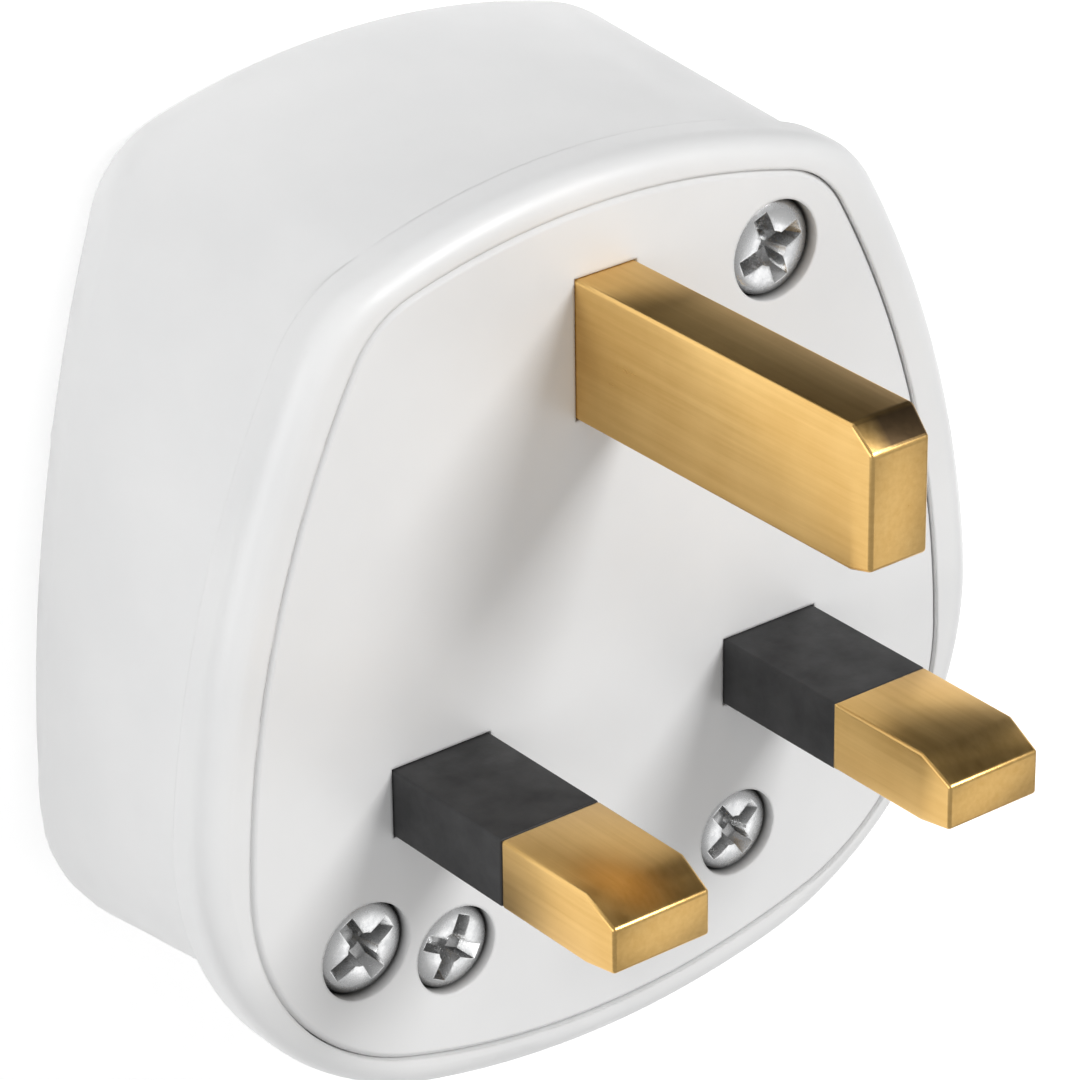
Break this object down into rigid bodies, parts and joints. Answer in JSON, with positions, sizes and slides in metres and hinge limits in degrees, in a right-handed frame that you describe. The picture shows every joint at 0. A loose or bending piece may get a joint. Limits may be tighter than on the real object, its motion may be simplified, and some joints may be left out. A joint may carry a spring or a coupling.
{
  "type": "three pin plug",
  "caption": "White rewireable mains plug with rectangular brass pins, black pin sleeves, a base plate let into a deep rounded cover, and an inner cartridge fuse.",
  "frame": {"origin": "under the middle of the body, on the surface that the flat back rests on", "axes": "+Z along the pins away from the body, +Y towards the earth pin, +X right seen from the pin side"},
  "size_m": [0.0522, 0.0532, 0.0472],
  "materials": {
    "base_moulding": "satin white moulding",
    "cover_moulding": "satin white moulding",
    "pin_brass": "drawn and machined brass, lightly brushed",
    "sleeve": "matt black",
    "fuse_ceramic": "unglazed ceramic",
    "fuse_cap": "bright plated",
    "fuse_wire": "bare wire",
    "spring_clip": "rolled strip",
    "terminal_brass": "machined",
    "grip_moulding": "white moulding",
    "terminal_screw": "turned",
    "plated_screw": "bright nickel plate",
    "insert_brass": "turned, knurled outside",
    "fibre": "pressed fibre"
  },
  "bodies": {
    "root": {"base_plate": "base_moulding", "rear_cover": "cover_moulding", "earth_pin": "pin_brass", "neutral_pin": "pin_brass", "line_pin": "pin_brass", "neutral_sleeve": "sleeve", "line_sleeve": "sleeve", "fuse_body": "fuse_ceramic", "fuse_cap_lower": "fuse_cap", "fuse_cap_upper": "fuse_cap", "fuse_element": "fuse_wire", "line_fuse_clip": "spring_clip", "terminal_fuse_clip": "spring_clip", "line_terminal": "terminal_brass", "cord_grip_bar": "grip_moulding", "earth_terminal_screw": "terminal_screw", "neutral_terminal_screw": "terminal_screw", "line_terminal_screw": "terminal_screw", "cover_screw_upper": "plated_screw", "cover_screw_lower": "plated_screw", "cord_grip_screw_left": "plated_screw", "cord_grip_screw_right": "plated_screw", "cover_insert_upper": "insert_brass", "cover_insert_lower": "insert_brass", "cord_grip_insert_left": "insert_brass", "cord_grip_insert_right": "insert_brass", "screw_keeper_upper": "fibre", "screw_keeper_lower": "fibre"}
  },
  "joints": []
}
